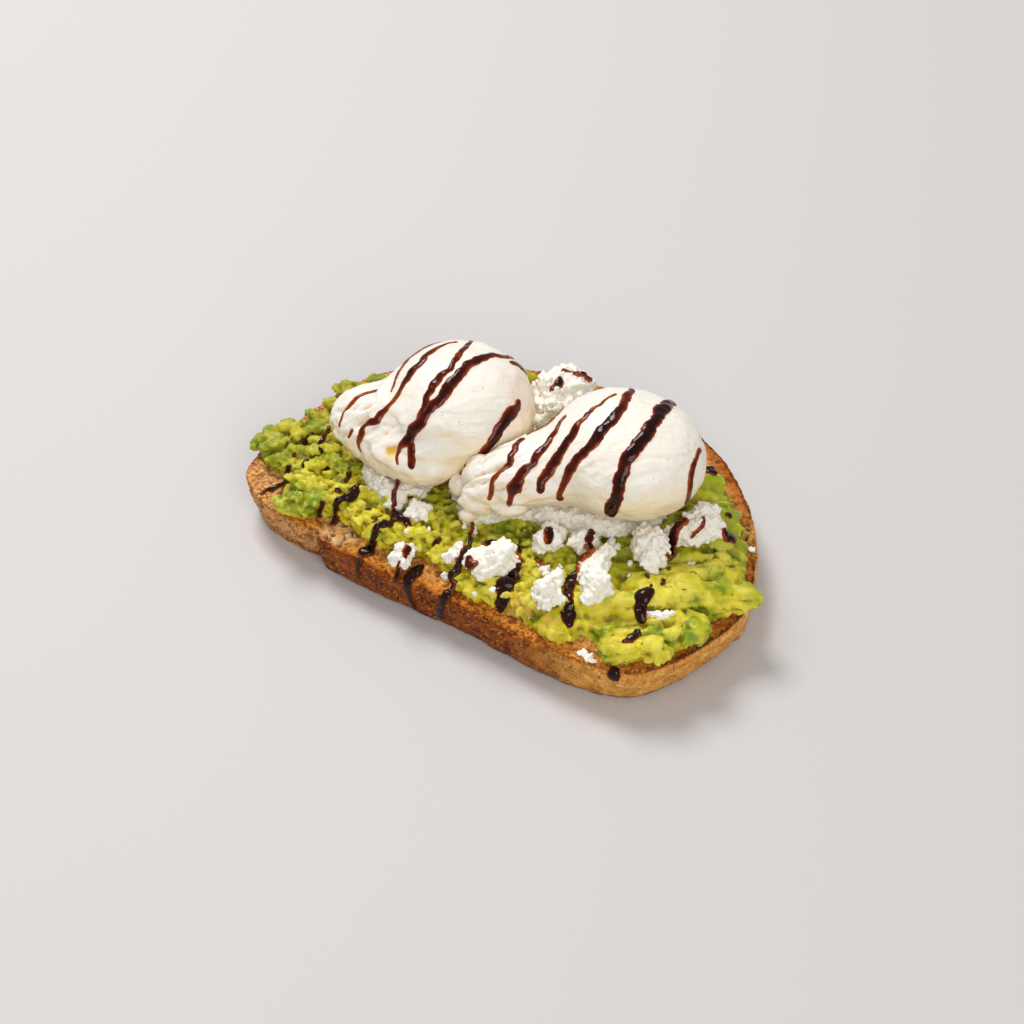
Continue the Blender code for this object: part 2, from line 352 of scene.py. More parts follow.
def stands_for(piece, node):
    """The piece moves with the toast and stands in for its CAD node."""
    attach(piece, "root")
    if node:
        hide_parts(node)


EAR_X = -45.5                          # where the crust tore open and rose in the oven
FLECK_SLANT = math.radians(40.0)       # how the flecks lie on the crust
BAKED = colour(84, 32, 2), colour(162, 82, 18)
PALE_CRUST = colour(198, 128, 48), colour(238, 178, 84)
TORN_CRUST = colour(150, 90, 40), colour(228, 168, 104)
TOASTED = colour(188, 116, 42), colour(222, 158, 76)
PALE_CRUMB = colour(170, 108, 54), colour(240, 190, 128)
GOLDEN = colour(132, 60, 6), colour(242, 146, 38)
LIP = colour(116, 50, 8), colour(230, 136, 34)
# Torn crumb, pale at the left and soaked darker at the right, each going to a painted shade in its
# pits.
TORN_CRUMB_TO_PIT_SHADE = colour(238, 198, 142), colour(136, 88, 46)
SOAKED_CRUMB_TO_PIT_SHADE = colour(206, 160, 78), colour(108, 76, 26)
CHAR = colour(58, 28, 12)

bread_paint, start = new_material("toasted_bread")
place = place_in_mm(start)
x, y, z = (place.part(axis) for axis in "XYZ")
flat, rim, pit, tear = (recall(start, name) for name in ("flat", "rim", "pit", "tear"))
cloud = place.noise(8.0, 3.0)
blotch = place.noise(3.4, 4.0, Distortion=0.5)
speckle = place.noise(1.0, 3.0)
fleck = (place.turned("Y", FLECK_SLANT) * (0.35, 0.8, 1.0)).noise(0.6, 2.0)
mottle = blotch * 0.5 + speckle * 0.5

# The crust round the sides: dark in the middle, pale at the right end, torn at the left one.
brown = mottle.smooth(0.36, 0.62).mix(*BAKED)
tan = blotch.smooth(0.32, 0.68).mix(*PALE_CRUST)
torn = mottle.smooth(0.40, 0.56).mix(*TORN_CRUST)
torn = (speckle.smooth(0.58, 0.66) * 0.8).mix(torn, colour(84, 50, 26))
crust = (x + (cloud - 0.5) * 24.0).smooth(24.0, 62.0).mix(brown, tan)
crust = (fleck.smooth(0.60, 0.68) * 0.8).mix(crust, colour(224, 152, 62))
crust = (speckle.smooth(0.42, 0.34) * 0.6).mix(crust, colour(78, 31, 5))
crust = (place.noise(0.9, 2.0).smooth(0.62, 0.68) * x.smooth(30.0, 60.0) * 0.8).mix(
    crust, colour(250, 214, 152))
front = (y + (cloud - 0.5) * 40.0).smooth(14.0, -8.0)
crust = ((x + (cloud - 0.5) * 6.0).smooth(EAR_X + 0.5, EAR_X - 0.5) * front).mix(crust, torn)
lip = (z + (blotch - 0.5) * 4.0).smooth(13.6, 14.6)
crust = (lip * 0.9).mix(crust, mottle.smooth(0.42, 0.58).mix(*LIP))
sole = (z + (blotch - 0.5) * 4.0).smooth(2.5, 0.3)
crust = (sole * 0.7).mix(crust, colour(70, 36, 16))

# The cut face: toasted crumb, golden and then charred towards its rim, torn open in two places.
crumb = cloud.smooth(0.35, 0.65).mix(*TOASTED)
crumb = (speckle.smooth(0.48, 0.62) * 0.7).mix(crumb, colour(240, 194, 122))
pale = (x + (cloud - 0.5) * 14.0).smooth(-52.0, -62.0)
crumb = (pale * 0.85).mix(crumb, speckle.smooth(0.4, 0.6).mix(*PALE_CRUMB))
gold = (rim + (blotch - 0.5) * 6.0).smooth(6.0, 1.0) * (1.0 - x.smooth(30.0, 75.0) * 0.55)
crumb = (gold * (1.0 - pale * 0.6) * 0.8).mix(crumb, mottle.smooth(0.38, 0.58).mix(*GOLDEN))
darker = (rim + (blotch - 0.5) * 4.0).smooth(7.0, 2.0) * (x * 0.03 + y * 0.02).smooth(0.7, 1.5)
crumb = (darker * 0.7).mix(crumb, colour(156, 76, 6))
browned = (blotch + speckle * 0.35).smooth(0.72, 0.82)
crumb = (browned * (0.85 - pale * 0.5)).mix(crumb, colour(118, 56, 14))
dark_side = (x * 0.012 + y * 0.02).smooth(-0.9, 0.4)
char = (rim + (speckle - 0.5) * 4.0).smooth(2.0, 0.5) * (dark_side * 0.75 + 0.25)
crumb = (char * 0.9).mix(crumb, CHAR)
# Painted shade: the crumb is darkened in its pits.
crumb = (pit * 0.6).mix(crumb, colour(120, 66, 26))
burnt = place.noise(0.8, 2.0).smooth(0.64, 0.70) * blotch.smooth(0.40, 0.52)
crumb = (burnt * 0.9).mix(crumb, colour(44, 26, 16))
# The torn web darkens into its pits, a painted shade.
web = x.smooth(0.0, 20.0).mix(pit.mix(*TORN_CRUMB_TO_PIT_SHADE), pit.mix(*SOAKED_CRUMB_TO_PIT_SHADE))
crumb = (tear * 0.85).mix(crumb, web)
surface(start, flat.mix(crust, crumb), 0.5 + 0.3 * flat, speckle, 0.25, Specular_IOR_Level=0.15)

bread_relief = Recipe("bread_relief", pit_depth=1.0, tear_depth=2.6)
start, place, normal = bread_relief.start, bread_relief.place, bread_relief.normal
x, y = place.part("X"), place.part("Y")
upright = abs(normal.part("Z"))       # 1 on the two cut faces, 0 on the crust
sides = start.node("GeometryNodeSeparateGeometry", {"domain": "FACE"},
                   {"Geometry": start, "Selection": 1.0 - upright.smooth(0.39, 0.4)})
rim = nearest(sides, place * MM, "Distance") * (1.0 / MM)
flat = upright.smooth(0.45, 0.75)
cloud = place.noise(9.0, 2.0)
hole = place.cells(2.4)
chosen = place.cells(2.4, "Color").part("X")
pits = hole.smooth(0.5, 0.15) * chosen.smooth(0.35, 0.6)
ear = (((x - EAR_X - 6.0) * 0.13) ** 2.0 + ((y + 50.0) * 0.16) ** 2.0).smooth(1.3, 0.5) * flat
along, across = (x - y - 45.0) * 0.064, (x + y - 83.0) * 0.16
patch = (along ** 2.0 + across ** 2.0).smooth(1.2, 0.6) * flat
torn = (ear + patch) * place.noise(4.0).smooth(0.35, 0.55)
stretched = place + (place.noise(3.5, 2.0, "Color") - (0.5, 0.5, 0.5)) * 6.0
web = stretched.cells(2.8, feature="DISTANCE_TO_EDGE").smooth(0.03, 0.25)
torn_side = ((x + (cloud - 0.5) * 5.0).smooth(EAR_X + 1.0, EAR_X - 1.0) * (1.0 - flat)
             * y.smooth(10.0, -6.0))
streak = place.noise(1.5, 2.0)
height = (cloud - 0.5) * 1.4 + (place.noise(3.0, 2.0) - 0.5) * 0.7
height = height + (streak - 0.5) * (1.0 - flat) * 0.5
height = height - pits * bread_relief.wires["pit_depth"] * (flat * 0.8 + torn_side * 0.9)
height = height - web * torn * bread_relief.wires["tear_depth"]
height = height - torn_side * (1.1 - (place.noise(4.5) - 0.5) * 3.0)
geometry = start
for label, value in (("flat", flat), ("rim", rim), ("pit", pits + web * torn), ("tear", torn)):
    geometry = remember(geometry, label, value)
under = normal.part("Z").smooth(-0.6, -0.8)      # nothing may swell below the table
height = height + (height.apply("MINIMUM") - height) * under
bread_relief.finish(raise_by(geometry, height), bread_paint)
bread = copy_of("toast", "bread_slice")
reskin(bread, voxel=0.72)
bread_relief.run(bread)
stands_for(bread, "toast")


# ---- Avocado ----
# Ripe avocado crushed with a fork and spread on the toast: long chunky strokes at the left end,
# soft grains along the front, smooth swoops with folded lips where the spoon left it at the right.
ALONG_STROKES = math.radians(34.0)     # the fork was drawn across the slice at this angle
CROWD = 3.0e6                          # points tried per square metre at a spacing of 1 mm
BUTTER = colour(196, 182, 14), colour(234, 218, 60)
GREEN = colour(116, 140, 8), colour(168, 178, 24)
SKIN_GREEN = colour(116, 138, 10)
OLIVE_SHADE = colour(138, 140, 10)
LEMON = colour(244, 224, 68)
CREST_HIGHLIGHT = colour(236, 224, 92)

# Ragged tips of the spread: where each is, its size and its turn.
MASH_TIPS = [((79, -7.5, 19), (11, 6, 4), -5), ((-77, -31, 19), (12, 6, 5), 10),
             ((-57, -52, 18), (9, 5, 5), 20), ((60, -48.5, 18.5), (12, 6, 5), 25),
             ((70, -42, 19), (10, 6, 5), 40), ((74, -28, 19), (8, 10, 5), 0)]
# Folds of the spread: the places along each, its width and its height.
MASH_FOLDS = [
    ([(42, -41, 21), (50, -36, 22), (57, -31, 22), (65, -22, 22), (74, -12, 21)], 3.2, 2.8),
    ([(48, -49, 20), (55, -45, 21), (62, -40, 22), (68, -32, 22)], 2.6, 2.2),
    ([(58, -50, 19), (66, -44.5, 20), (71, -37, 20), (73, -28, 21)], 2.0, 2.3),
    ([(50, -26, 22), (58, -20, 22), (66, -10, 22), (72, 0, 21)], 2.6, 2.2),
    ([(26, -50, 20), (33, -46, 21), (40, -41, 21), (46, -34, 22)], 2.4, 1.9),
    ([(66, -24, 21), (73, -18, 21), (80, -9, 20)], 2.0, 1.6),
    ([(60, 8, 21), (65, 2, 21), (68, -6, 21)], 2.2, 1.9),
]

mash_paint, start = new_material("mashed_avocado")
place = place_in_mm(start)
x, y = place.part("X"), place.part("Y")
crest, hollow = recall(start, "crest"), recall(start, "hollow")
cloud = place.noise(11.0, 2.0)
patchy = place.noise(4.5, 2.0, Distortion=0.6)
grain = place.noise(0.8, 3.0)
butter = patchy.smooth(0.35, 0.65).mix(*BUTTER)
green = patchy.smooth(0.35, 0.65).mix(*GREEN)
middle = ((x * 0.012) ** 2.0 + ((y + 10.0) * 0.03) ** 2.0).smooth(0.9, 0.2)
skin_side = (x * 0.02 + y * 0.022 + (cloud - 0.5) * 6.0).smooth(0.5, 1.8)
tip = x.smooth(-36.0, -66.0) * cloud.smooth(0.40, 0.58)
share = skin_side * 0.65 + tip * 0.9 + cloud.smooth(0.54, 0.66) * 0.6 + middle * 0.6
mash = share.smooth(0.0, 1.0).mix(butter, green)
beside_egg = (x * 0.03 + y * 0.05).smooth(1.6, 2.4) * patchy.smooth(0.25, 0.55)
mash = (beside_egg * 0.7).mix(mash, SKIN_GREEN)
yellowest = x.smooth(44.0, 64.0) * (1.0 - beside_egg) * cloud.smooth(0.58, 0.42)
mash = (yellowest * 0.4).mix(mash, LEMON)
# Painted shade: the spread is darkened to olive towards its back left, with less painted highlight on
# its crests there.
back_left_shade = (y * 0.012 - x * 0.018).smooth(0.2, 1.3)
mash = (back_left_shade * 0.5).mix(mash, OLIVE_SHADE)
bruise = ((x - 30.0) * 0.09) ** 2.0 + ((y + 49.0) * 0.16) ** 2.0
mash = (bruise.smooth(1.2, 0.3) * patchy.smooth(0.4, 0.55) * 0.8).mix(mash, colour(222, 178, 74))
# Painted shade: the spread is darkened in its hollows and in the creases between its lumps.
mash = (hollow.smooth(0.1, -0.9) * 0.8).mix(mash, colour(108, 98, 5))
mash = (crest.smooth(-0.03, -0.60) * 0.75).mix(mash, colour(104, 96, 4))
# Painted highlight: the crests of the lumps are lightened to a pale cream.
mash = (crest.smooth(0.12, 0.5) * (0.5 - back_left_shade * 0.25)).mix(mash, CREST_HIGHLIGHT)
mash = (place.noise(0.9, 2.0).smooth(0.73, 0.78) * 0.8).mix(mash, colour(50, 40, 12))
surface(start, mash, 0.36 + 0.2 * grain, grain, 0.2, Subsurface_Weight=0.08,
        Subsurface_Radius=(0.0014, 0.001, 0.0003), Specular_IOR_Level=0.35)


def chance(start, low, high, seed):
    """A random number for each point."""
    return start.node("FunctionNodeRandomValue", {"data_type": "FLOAT"},
                      {"Min_001": low, "Max_001": high, "Seed": seed}, "Value_001")


def strewn(start, dial, where=True):
    """Points strewn over the faces, at least the dialled spacing apart, in millimetres."""
    return start.node("GeometryNodeDistributePointsOnFaces", {"distribute_method": "POISSON"},
                      {"Mesh": start, "Selection": where, "Distance Min": dial["spacing"] * MM,
                       "Density Max": CROWD * dial["spacing"] ** -2.0, "Seed": dial["seed"]},
                      "Points")


def balls_on(dots, turn, size):
    """A small ball on every point, turned and then stretched to its size in millimetres."""
    ball = dots.node("GeometryNodeMeshIcoSphere", {}, {"Radius": 0.5 * MM, "Subdivisions": 1}, "Mesh")
    return dots.node("GeometryNodeInstanceOnPoints", {},
                     {"Points": dots, "Instance": ball, "Rotation": turn, "Scale": size})


def together(parts):
    """Several geometries as one."""
    return parts[0].node("GeometryNodeJoinGeometry", {}, {"Geometry": parts})


mash_lumps = Recipe("mash_lumps", spacing=3.0, length=7.0, width=3.0, height=2.4, lift=0.8,
                    turn=ALONG_STROKES, from_x=-90.0, to_x=0.0, seed=1)
start, place, dial = mash_lumps.start, mash_lumps.place, mash_lumps.wires
x = place.part("X") + (place.noise(9.0) - 0.5) * 14.0
inside = (x.smooth(dial["from_x"] - 0.1, dial["from_x"] + 0.1)
          * x.smooth(dial["to_x"] + 0.1, dial["to_x"] - 0.1))
open_side = mash_lumps.normal.part("Z").smooth(0.0, 0.1)
dots = strewn(start, dial, inside * open_side)
dots = moved(dots, Offset=start.vector(0.0, 0.0, chance(start, -0.2, 1.0, 15) * dial["lift"] * MM))
size = chance(start, 0.4, 1.4, 11)
lumps = balls_on(dots, start.vector(chance(start, -0.5, 0.5, 12), chance(start, -0.5, 0.5, 13),
                                    dial["turn"] + chance(start, -0.6, 0.6, 14)),
                 start.vector(size * dial["length"], size * dial["width"], size * dial["height"]))
mash_lumps.finish(together([start, lumps]), mash_paint)

mash_swoops = Recipe("mash_swoops", depth=3.0)
start, place = mash_swoops.start, mash_swoops.place
x = place.part("X")
turned = place.turned("Z", -ALONG_STROKES)
swoop = 1.0 - abs((turned * (0.45, 1.0, 1.0)).noise(9.0, 1.5, Distortion=0.9) - 0.5) * 6.0
right = x.smooth(20.0, 44.0)
height = (swoop - 0.5) * mash_swoops.wires["depth"] * right + (place.noise(7.0, 2.0) - 0.5) * 2.2
sunk = mash_swoops.normal.part("Z").smooth(-0.4, -0.8)
back = (place.part("Y") - x * 0.25).smooth(4.0, 24.0)
height = height - back * (0.8 + (1.0 - mash_swoops.normal.part("Z").smooth(0.2, 0.7)) * 3.6)
mash_swoops.finish(raise_by(start, height * (1.0 - sunk) + sunk * 0.8), mash_paint)


def blur(vector, steps):
    """A vector evened out with those of the points around it."""
    return vector.node("GeometryNodeBlurAttribute", {"data_type": "FLOAT_VECTOR"},
                       {"Value": vector, "Iterations": steps}, "Value")


def crest_of(start, normal, steps):
    """How far each point stands above (or below) the surface around it, in millimetres."""
    place = start.node("GeometryNodeInputPosition") * (1.0 / MM)
    return start.node("ShaderNodeVectorMath", {"operation": "DOT_PRODUCT"},
                      {"Vector": place - blur(place, steps), "Vector_001": normal}, "Value")


mash_grain = Recipe("mash_grain", grain=0.9)
start, place = mash_grain.start, mash_grain.place
fine = 1.0 - place.part("X").smooth(22.0, 46.0) * 0.65
height = (place.noise(3.3, 2.0, Distortion=0.5) - 0.5) * 3.0 * (fine * 0.6 + 0.4)
height = height + (place.noise(1.5, 3.0) - 0.5) * mash_grain.wires["grain"] * 2.0 * fine
frayed = 1.0 - mash_grain.normal.part("Z").smooth(0.1, 0.75)
height = height + (place.noise(2.4, 2.0, Distortion=0.6) - 0.45) * frayed * 3.0
geometry = raise_by(start, height)
geometry = remember(geometry, "crest", crest_of(start, mash_grain.normal, 8))
geometry = remember(geometry, "hollow", crest_of(start, mash_grain.normal, 40))
mash_grain.finish(geometry, mash_paint)


def add_rag(piece, centre, size, turn):
    """Add a flattened ball to a soft piece, to melt into it: centre and size in millimetres."""
    bm = bmesh.new()
    bm.from_mesh(piece.data)
    ball = bmesh.ops.create_icosphere(bm, subdivisions=3, radius=0.5)["verts"]
    bmesh.ops.scale(bm, vec=Vector(size) * MM, verts=ball)
    bmesh.ops.rotate(bm, matrix=Matrix.Rotation(math.radians(turn), 3, "Z"), verts=ball)
    bmesh.ops.translate(bm, vec=Vector(centre) * MM, verts=ball)
    bm.to_mesh(piece.data)
    bm.free()


def fold(piece, route, width, height):
    """Raise a fold along a route: steep on its lower front side, soft on its upper side."""
    downhill = np.array((0.56, -0.83, 0.0))
    mesh = piece.data
    places = np.empty(len(mesh.vertices) * 3)
    normals = np.empty(len(mesh.vertices) * 3)
    mesh.vertices.foreach_get("co", places)
    mesh.vertex_normals.foreach_get("vector", normals)
    places, normals = places.reshape(-1, 3) / MM, normals.reshape(-1, 3)
    near = np.full(len(places), 1000.0)
    side = np.zeros(len(places))
    fade = np.zeros(len(places))
    route = np.array(route, dtype=float)
    for number, (first, second) in enumerate(zip(route, route[1:])):
        along = second - first
        t = np.clip((places - first) @ along / (along @ along), 0.0, 1.0)
        offset = places - (first + t[:, None] * along)
        away = np.linalg.norm(offset, axis=1)
        closer = away < near
        near = np.where(closer, away, near)
        side = np.where(closer, offset[:, 2] - offset @ downhill * 0.5, side)
        share = (number + t) / (len(route) - 1)
        fade = np.where(closer, np.sin(np.pi * np.clip(share, 0.02, 0.98)) ** 0.5, fade)
    reach = np.where(side > 0.0, width * 1.6, width * 0.45)
    lift = height * fade * np.exp(-(near / reach) ** 2)
    mesh.vertices.foreach_set("co", ((places + normals * lift[:, None]) * MM).ravel())
    mesh.update()


avocado = copy_of("avocado", "avocado_mash")
for centre, size, turn in MASH_TIPS:
    add_rag(avocado, centre, size, turn)
reskin(avocado, voxel=1.3)
mash_swoops.run(avocado)
mash_lumps.run(avocado, spacing=4.2, length=8.5, width=4.4, height=3.0, lift=1.8, from_x=-95.0,
               to_x=-10.0)
mash_lumps.run(avocado, spacing=2.9, length=4.6, width=3.0, height=2.4, lift=1.2, from_x=-60.0,
               to_x=36.0, seed=2)
reskin(avocado, voxel=0.55, smoothing=1)
for route, width, height in MASH_FOLDS:
    fold(avocado, route, width, height)
mash_grain.run(avocado)
fewer = avocado.modifiers.new("fewer", "DECIMATE")
fewer.ratio = 0.68                     # faces go where the surface is plainest
settle(avocado)
stands_for(avocado, "avocado")


# ---- Poached eggs ----
# Two eggs poached without a shell: the white has set into a soft bag round the yolk, with a
# trailing tail that folded over itself, satin smooth and creased where it was lifted out.
WHITE_TO_SHADED_UNDERSIDE = colour(255, 246, 233), colour(251, 233, 200)
FOLD_SHADE = colour(222, 192, 146)
YOLK = colour(238, 182, 20)

# Each egg's rags (place, size, turn), its folds (places along each, width, height), its pleats
# (the middle of the gathered tail and how far the gathers reach) and which way they run.
EGGS = {
    "egg_left": {
        "rags": [((-29, -31, 33), (17, 6, 6), -6), ((-20, -29, 34), (9, 6, 7), 20),
                 ((-45, -27, 36), (12, 8, 10), 40), ((-53, -17, 37), (9, 10, 10), 0)],
        "folds": [
            ([(-47, -10, 47.5), (-46, -15, 47), (-44, -20, 46.5), (-40, -27, 43)], 2.6, 1.3),
            ([(-41, -31, 39), (-36, -34, 36), (-29, -34.5, 35), (-21, -33, 35)], 2.2, 1.0),
            ([(-34, -28, 46), (-26, -27, 47), (-19, -25, 48), (-14, -21, 49)], 3.0, 0.5),
            ([(-31, -31, 41), (-25, -31, 40.5), (-18, -28.5, 40), (-14, -25, 38)], 2.0, 0.6),
            ([(-56, -25, 41), (-54, -19, 45), (-51, -13, 46)], 2.0, 0.6),
            ([(-53, -30, 37), (-50, -25, 43), (-46.5, -21, 46)], 1.6, 0.5),
            ([(-26, -33, 38), (-22, -30.5, 41.5), (-16, -26, 44.5)], 1.4, 0.4),
            ([(-38, -24, 47), (-33, -26, 47), (-27, -29, 44)], 1.8, 0.55),
            ([(-20, -20, 52), (-14, -16, 52), (-9, -10, 51)], 2.2, 0.35),
            ([(-16, -27, 40), (-11, -22, 41), (-7, -16, 43)], 1.8, 0.45),
        ],
        "pleats": (-48, -24, 37, 14), "turn": 60.0},
    "egg_right": {
        "rags": [((-6, -22, 36), (11, 9, 9), 45), ((-11, -25, 30), (8, 7, 7), 30),
                 ((-3, -28.5, 29.5), (12, 6, 6), 20), ((-4.5, -30.5, 25.5), (7, 4, 5), 60),
                 ((6, -25.5, 30), (12, 5, 5), 25)],
        "folds": [
            ([(-9, -23, 38), (-6, -20, 41), (-3, -16, 43), (2, -11, 46)], 2.2, 1.0),
            ([(-10, -27, 33), (-5, -26, 38), (1, -21, 42), (7, -15, 46)], 2.0, 0.8),
            ([(-7, -30, 30), (0, -28, 35), (7, -24, 39.5), (14, -19, 43)], 1.8, 0.7),
            ([(2, -30, 31), (10, -27, 34.5), (18, -22.5, 38), (27, -19, 41)], 2.6, 0.8),
            ([(30, -17, 45), (33, -14, 48), (37, -9, 51)], 2.0, 0.3),
            ([(46, -8, 46), (43, -12, 42), (39, -16, 38)], 2.5, 0.35),
            ([(20, -20, 42), (24, -16, 47), (29, -9, 52)], 2.0, 0.4),
            ([(30, -19, 40), (33, -16, 45), (36, -12, 49)], 1.6, 0.4),
            ([(6, -23, 42), (12, -16, 46), (18, -9, 51)], 2.0, 0.45),
            ([(24, -21, 36), (31, -20, 36), (40, -17, 37)], 1.8, 0.4),
        ],
        "pleats": (-2, -24, 35, 16), "turn": 42.0},
}

# Where yolk shines through the white or has run onto it: place, radius, colour and strength.
EGG_TINTS = [
    ((-31.9, -32.6, 37.8), 3.4, colour(246, 220, 150), 0.7),
    ((-32.6, -32.7, 38.8), 1.7, YOLK, 0.9),
    ((-31.0, -31.9, 39.6), 1.7, YOLK, 0.9),
    ((-6.0, 2.0, 50.0), 12.0, colour(250, 220, 198), 0.6),
    # The last two, broad and low on the right of each egg, are partly yolk shining through and partly
    # painted shade.
    ((44.0, -6.0, 36.0), 14.0, colour(244, 214, 158), 0.25),
    ((-14.0, -16.0, 38.0), 12.0, colour(244, 220, 152), 0.4),
]


def length_of(vector):
    return vector.node("ShaderNodeVectorMath", {"operation": "LENGTH"}, {"Vector": vector}, "Value")


egg_paint, start = new_material("poached_white")
place = place_in_mm(start)
crest, lean = recall(start, "crest"), recall(start, "lean")
cloud = place.noise(14.0, 2.0)
# The white turns cream where it faces down: partly yolk showing through, partly painted shade and
# painted light reflected from below.
milk = (lean + (cloud - 0.5) * 0.5).smooth(0.75, -0.25).mix(*WHITE_TO_SHADED_UNDERSIDE)
for middle, radius, tint, most in EGG_TINTS:
    away = length_of(place - middle) + (place.noise(3.0, 2.0) - 0.5) * radius
    milk = (away.smooth(radius, radius * 0.3) * most).mix(milk, tint)
milk = (crest.smooth(-0.03, -0.35) * 0.75).mix(milk, FOLD_SHADE)
milk = (place.noise(0.7, 1.0).smooth(0.765, 0.79) * 0.8).mix(milk, colour(70, 44, 30))
creases = abs((place * (0.35, 0.5, 1.0)).noise(3.0, 2.0, Distortion=1.0) - 0.5).smooth(0.0, 0.12)
surface(start, milk, 0.3, place.noise(1.3, 3.0) * 0.4 + creases * 0.35, 0.14, Subsurface_Weight=0.2,
        Subsurface_Radius=(0.003, 0.0022, 0.0013), Specular_IOR_Level=0.45)

egg_skin = Recipe("egg_skin", wave=0.7, pleat=1.1, turn=0.7, x=0.0, y=0.0, z=0.0, radius=14.0)
start, place, dial = egg_skin.start, egg_skin.place, egg_skin.wires
lean = egg_skin.normal.part("Z")
turned = place.turned("Z", 0.0 - dial["turn"])
gathers = 0.5 - abs((turned * (0.22, 1.0, 0.7)).noise(4.6, 1.5, Distortion=0.3) - 0.5) * 5.0
ridges = 0.5 - abs((turned * (0.35, 1.0, 0.8)).noise(7.0, 2.0, Distortion=0.8) - 0.5) * 4.0
away = length_of(place - start.vector(dial["x"], dial["y"], dial["z"]))
near = away.smooth(dial["radius"] * 1.3, dial["radius"] * 0.5)
height = (place.noise(9.0, 2.0) - 0.5) * dial["wave"] * 2.0 + gathers * dial["pleat"] * near
height = height + ridges * 0.5
geometry = raise_by(start, height)
geometry = remember(geometry, "crest", crest_of(start, egg_skin.normal, 10))
egg_skin.finish(remember(geometry, "lean", lean), egg_paint)

eggs = []
for node, parts in EGGS.items():
    egg = copy_of(node, "poached_" + node)
    round_off = egg.modifiers.new("round", "SUBSURF")
    round_off.levels = round_off.render_levels = 2
    settle(egg)
    for centre, size, turn in parts["rags"]:
        add_rag(egg, centre, size, turn)
    reskin(egg, voxel=0.55, smoothing=10)
    for route, width, height in parts["folds"]:
        fold(egg, route, width, height)
    x, y, z, radius = (float(part) for part in parts["pleats"])
    egg_skin.run(egg, turn=math.radians(parts["turn"]), x=x, y=y, z=z, radius=radius)
    stands_for(egg, node)
    eggs.append(egg)


# ---- Feta ----
# White cheese crumbled by hand: beds under and behind the eggs, loose curds on the avocado and the
# small bits that fell off them. Every piece is a ragged cluster of small soft grains.
CURD_SHADE_AND_WHITE = colour(226, 200, 150), colour(255, 251, 240)
BED_BREAKS = {"broad": 1.0, "small": 0.6}
LOOSE_BREAKS = {"broad": 1.6, "small": 1.5}
HEAP_BREAKS = {"broad": 2.6, "small": 1.5}

# The small bits: where each lies and how large it is.
FETA_BITS = [
    (-1, -48, 3.4), (1.5, -48.5, 2.8), (3, -47, 2.2), (25, -34, 3.2), (27, -35.5, 2.6),
    (22.5, -33, 2.0), (35, -12.5, 3.0), (37.5, -13.5, 2.4), (62.4, -32.6, 2.6), (64, -32.4, 3.2),
    (65.8, -31, 2.8), (66.8, -29.8, 1.8), (61.2, -33, 1.8), (49.4, -52.4, 1.8), (51, -52.0, 2.6),
    (52.8, -52.3, 2.6), (54.2, -52.8, 1.8), (69, 13.5, 2.2),
    (-3, -31, 2.6), (-5.5, -32, 1.8), (17, -50, 1.8), (5, -36, 1.6), (30, -47, 1.8),
    (45, -18, 2.2), (47.5, -22, 1.7), (60, -8, 1.8), (-20, -33, 2.2), (-13, -40, 1.6),
    (-17, -46, 1.6), (12, -52, 1.6), (28, -30, 1.5), (38, -34, 1.6), (64, 8, 1.6),
]
feta_paint, start = new_material("crumbled_feta")
place = place_in_mm(start)
crest, hollow = recall(start, "crest"), recall(start, "hollow")
# Painted shade: the white curds turn cream in their hollows and darker in the gaps between grains.
curd = hollow.smooth(-1.3, 0.2).mix(*CURD_SHADE_AND_WHITE)
curd = (crest.smooth(-0.05, -0.3) * 0.6).mix(curd, colour(206, 184, 142))
surface(start, curd, 0.75, place.noise(0.5, 2.0), 0.1, Subsurface_Weight=0.12,
        Subsurface_Radius=(0.0012, 0.001, 0.0008))

curd_breaks = Recipe("curd_breaks", broad=2.4, small=0.9)
start, place, dial = curd_breaks.start, curd_breaks.place, curd_breaks.wires
height = (place.noise(6.0, 1.0) - 0.5) * dial["broad"] * 3.0
height = height + (place.cells(3.2) - 0.45) * dial["small"] * -2.0
curd_breaks.finish(raise_by(start, height), feta_paint)

curd_grains = Recipe("curd_grains", spacing=1.4, smallest=1.0, largest=2.7, seed=1)
start, place, dial = curd_grains.start, curd_grains.place, curd_grains.wires
dots = strewn(start, dial)
size = dial["smallest"] + (dial["largest"] - dial["smallest"]) * chance(start, 0.0, 1.0, 24) ** 2.0
grains = balls_on(dots, start.vector(*(chance(start, 0.0, 3.0, seed) for seed in (25, 26, 27))),
                  start.vector(*(size * chance(start, 0.7, 1.3, seed) for seed in (21, 22, 23))))
curd_grains.finish(together([start, grains]), feta_paint)

curd_relief = Recipe("curd_relief", rough=0.4)
start, place = curd_relief.start, curd_relief.place
geometry = raise_by(start, (place.noise(0.9, 2.0) - 0.5) * curd_relief.wires["rough"] * 2.0)
geometry = remember(geometry, "crest", crest_of(start, curd_relief.normal, 4))
geometry = remember(geometry, "hollow", crest_of(start, curd_relief.normal, 25))
curd_relief.finish(geometry, feta_paint)

cheeses = []
feta_nodes = sorted(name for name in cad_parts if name.startswith("feta"))
for number, node in enumerate(feta_nodes):
    cheese = copy_of(node, node.replace("feta", "feta_curds"))
    reskin(cheese, voxel=0.7)
    breaks = LOOSE_BREAKS if "crumb" in node else HEAP_BREAKS if "back" in node else BED_BREAKS
    curd_breaks.run(cheese, **breaks)
    curd_grains.run(cheese, seed=number)
    reskin(cheese, voxel=0.36)
    curd_relief.run(cheese)
    stands_for(cheese, node)
    cheeses.append(cheese)


def lying_on(pieces, x, y):
    """The highest place of the pieces at x, y, in millimetres."""
    down = Vector((0.0, 0.0, -1.0))
    hits = [piece.ray_cast(Vector((x, y, 100.0)) * MM, down) for piece in pieces]
    return max(hit[1].z for hit in hits if hit[0]) / MM


